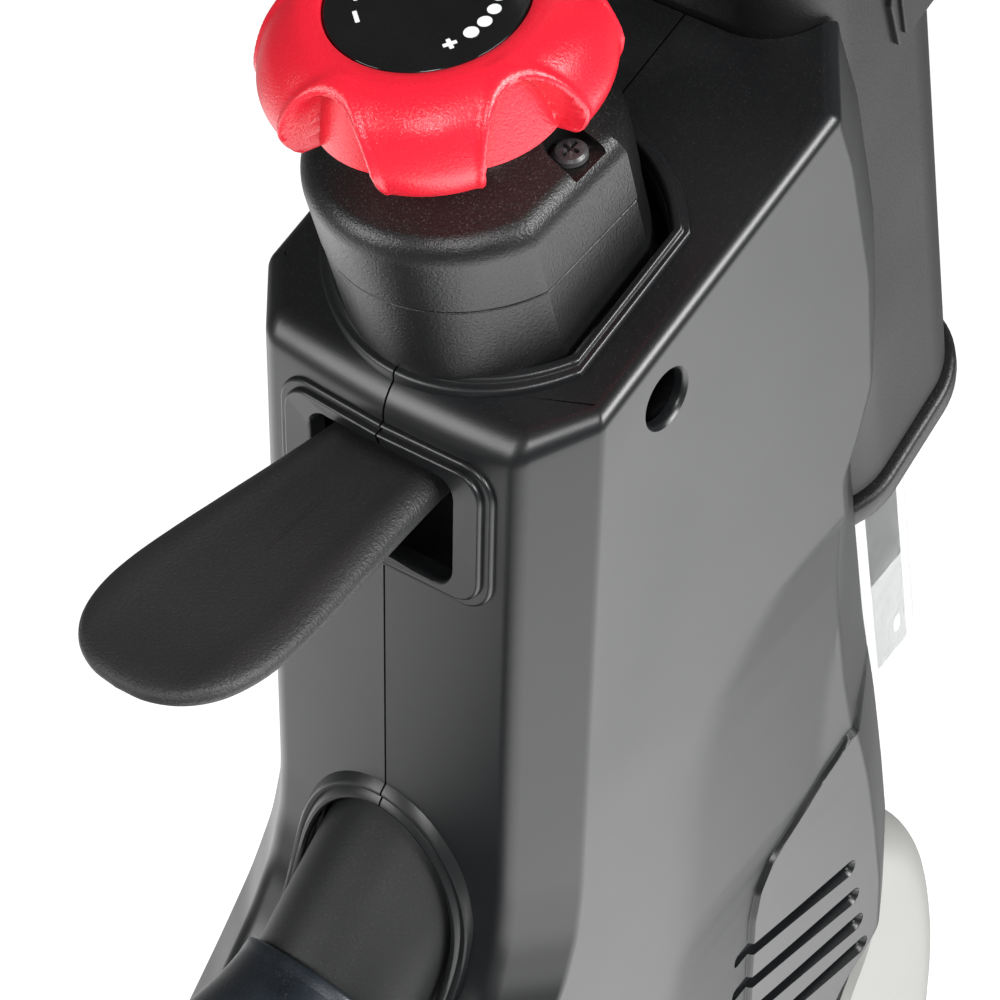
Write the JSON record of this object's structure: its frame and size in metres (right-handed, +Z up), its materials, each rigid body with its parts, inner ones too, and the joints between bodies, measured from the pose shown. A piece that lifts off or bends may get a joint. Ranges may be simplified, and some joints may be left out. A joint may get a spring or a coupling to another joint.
{
  "type": "indoor training cycle",
  "caption": "Indoor training cycle with raked handlebar, saddle, belt-driven flywheel, red resistance knob on a control tower and a brake lever under it.",
  "frame": {"origin": "on the floor under the middle of the machine", "axes": "+Z up, +Y forward to the flywheel, +X to the rider's right"},
  "size_m": [0.51, 0.995, 1.0956],
  "materials": {
    "shell": "satin moulded charcoal plastic",
    "textured_black": "fine textured black",
    "red": "satin red",
    "dial": "gloss black",
    "paddle": "fine grained black",
    "beam": "blue-black powder coat",
    "dark_steel": "black painted steel",
    "steel": "machined steel",
    "magnet": "nickel plated",
    "aluminium": "satin anodised",
    "hood": "satin pale grey",
    "rubber": "black rubber",
    "saddle_cover": "black synthetic leather"
  },
  "bodies": {
    "frame": {"tower_shell_left": "shell", "tower_shell_right": "shell", "belt_guard": "shell", "knob_pedestal_base": "textured_black", "knob_pedestal_cap": "textured_black", "head_stub": "textured_black", "handlebar_sleeve": "textured_black", "sleeve_liner": "textured_black", "top_beam": "beam", "bottom_bracket_shell": "beam", "seat_tube": "beam", "down_tube": "beam", "rear_leg": "beam", "front_stabiliser": "beam", "rear_stabiliser": "beam", "shell_screw_left": "dark_steel", "shell_screw_right": "dark_steel", "pedestal_screw_left": "dark_steel", "pedestal_screw_right": "dark_steel", "side_plate_left": "dark_steel", "side_plate_right": "dark_steel", "lever_pivot_pin": "steel", "lever_return_spring": "steel", "flywheel_hood": "hood", "drive_belt": "rubber"},
    "knob": {"resistance_knob": "red", "knob_dial": "dial", "brake_spindle": "steel"},
    "magnet_yoke": {"magnet_yoke": "dark_steel", "brake_magnet_left": "magnet", "brake_magnet_right": "magnet"},
    "lever": {"brake_lever": "paddle"},
    "brake_rod": {"brake_rod": "steel"},
    "handlebar_post": {"handlebar_post": "aluminium"},
    "handlebar": {"handlebar_rail": "aluminium", "handlebar": "textured_black", "grip_left": "rubber", "grip_right": "rubber"},
    "rail_clamp_knob": {"rail_clamp_knob": "textured_black"},
    "post_pull_knob": {"post_pull_knob": "textured_black"},
    "seat_post": {"seat_post": "aluminium"},
    "saddle": {"saddle_carriage": "textured_black", "saddle_pad": "saddle_cover"},
    "saddle_clamp_knob": {"saddle_clamp_knob": "textured_black"},
    "seat_pull_knob": {"seat_pull_knob": "textured_black"},
    "flywheel": {"flywheel": "steel", "flywheel_axle": "dark_steel"},
    "crankset": {"crank_axle": "steel", "crank_left": "dark_steel", "crank_right": "dark_steel", "drive_pulley": "dark_steel"},
    "pedal_right": {"pedal_right": "textured_black"},
    "pedal_left": {"pedal_left": "textured_black"},
    "transport_wheel_right": {"transport_wheel_right": "rubber"},
    "transport_wheel_left": {"transport_wheel_left": "rubber"},
    "foot_front_left": {"levelling_foot_front_left": "rubber"},
    "foot_front_right": {"levelling_foot_front_right": "rubber"},
    "foot_rear_left": {"levelling_foot_rear_left": "rubber"},
    "foot_rear_right": {"levelling_foot_rear_right": "rubber"}
  },
  "joints": [
    {"name": "knob_turn", "type": "hinge", "parent": "frame", "child": "knob", "pos_m": [0, 0.2484, 0.9496], "axis": [0, 0.225, -0.9744], "range_deg": [0, 300]},
    {"name": "yoke_slide", "type": "slide", "parent": "frame", "child": "magnet_yoke", "axis": [0, 0.225, -0.9744], "range_m": [0, 0.0241]},
    {"name": "lever_swing", "type": "hinge", "parent": "frame", "child": "lever", "pos_m": [0, 0.2555, 0.84126], "axis": [1, 0, 0], "range_deg": [0, 25], "stiffness_Nm_per_rad": 0.8, "springref_deg": -22.92},
    {"name": "brake_rod_slide", "type": "slide", "parent": "frame", "child": "brake_rod", "axis": [0, 0, -1], "range_m": [0, 0.006]},
    {"name": "post_height", "type": "slide", "parent": "frame", "child": "handlebar_post", "axis": [0, -0.225, 0.9744], "range_m": [0, 0.14]},
    {"name": "handlebar_reach", "type": "slide", "parent": "handlebar_post", "child": "handlebar", "axis": [0, 1, 0], "range_m": [-0.028, 0.02]},
    {"name": "rail_knob_turn", "type": "hinge", "parent": "handlebar_post", "child": "rail_clamp_knob", "pos_m": [0, 0.35073, 1.00716], "axis": [1, 0, 0], "continuous": true},
    {"name": "post_pull", "type": "slide", "parent": "frame", "child": "post_pull_knob", "axis": [0, 0.9744, 0.225], "range_m": [0, 0.008], "stiffness_N_per_m": 600, "springref_m": -0.012},
    {"name": "seat_height", "type": "slide", "parent": "frame", "child": "seat_post", "axis": [0, -0.2924, 0.9563], "range_m": [0, 0.16]},
    {"name": "saddle_reach", "type": "slide", "parent": "seat_post", "child": "saddle", "axis": [0, 1, 0], "range_m": [-0.025, 0.025]},
    {"name": "saddle_knob_turn", "type": "hinge", "parent": "seat_post", "child": "saddle_clamp_knob", "pos_m": [0, -0.25194, 0.943], "axis": [1, 0, 0], "continuous": true},
    {"name": "seat_pull", "type": "slide", "parent": "frame", "child": "seat_pull_knob", "axis": [0, -0.9563, -0.2924], "range_m": [0, 0.008], "stiffness_N_per_m": 600, "springref_m": -0.012},
    {"name": "flywheel_spin", "type": "hinge", "parent": "frame", "child": "flywheel", "pos_m": [0, 0.2915, 0.3], "axis": [-1, 0, 0], "continuous": true},
    {"name": "crank_turn", "type": "hinge", "parent": "frame", "child": "crankset", "pos_m": [0, -0.0685, 0.33], "axis": [-1, 0, 0], "continuous": true},
    {"name": "pedal_right_turn", "type": "hinge", "parent": "crankset", "child": "pedal_right", "pos_m": [0.124, 0.1015, 0.33], "axis": [1, 0, 0], "continuous": true},
    {"name": "pedal_left_turn", "type": "hinge", "parent": "crankset", "child": "pedal_left", "pos_m": [-0.124, -0.2385, 0.33], "axis": [1, 0, 0], "continuous": true},
    {"name": "wheel_right_roll", "type": "hinge", "parent": "frame", "child": "transport_wheel_right", "pos_m": [0.18, 0.4105, 0.036], "axis": [1, 0, 0], "continuous": true},
    {"name": "wheel_left_roll", "type": "hinge", "parent": "frame", "child": "transport_wheel_left", "pos_m": [-0.18, 0.4105, 0.036], "axis": [1, 0, 0], "continuous": true},
    {"name": "foot_front_right_turn", "type": "hinge", "parent": "frame", "child": "foot_front_right", "pos_m": [0.221, 0.3415, 0], "axis": [0, 0, 1], "continuous": true},
    {"name": "foot_front_left_turn", "type": "hinge", "parent": "frame", "child": "foot_front_left", "pos_m": [-0.221, 0.3415, 0], "axis": [0, 0, 1], "continuous": true},
    {"name": "foot_rear_right_turn", "type": "hinge", "parent": "frame", "child": "foot_rear_right", "pos_m": [0.221, -0.4585, 0], "axis": [0, 0, 1], "continuous": true},
    {"name": "foot_rear_left_turn", "type": "hinge", "parent": "frame", "child": "foot_rear_left", "pos_m": [-0.221, -0.4585, 0], "axis": [0, 0, 1], "continuous": true}
  ],
  "couplings": [
    {"joint": "yoke_slide", "follows": "knob_turn", "m_per_rad": 0.0045837},
    {"joint": "brake_rod_slide", "follows": "lever_swing", "m_per_rad": 0.0135},
    {"joint": "crank_turn", "follows": "flywheel_spin", "ratio": 0.31111}
  ]
}
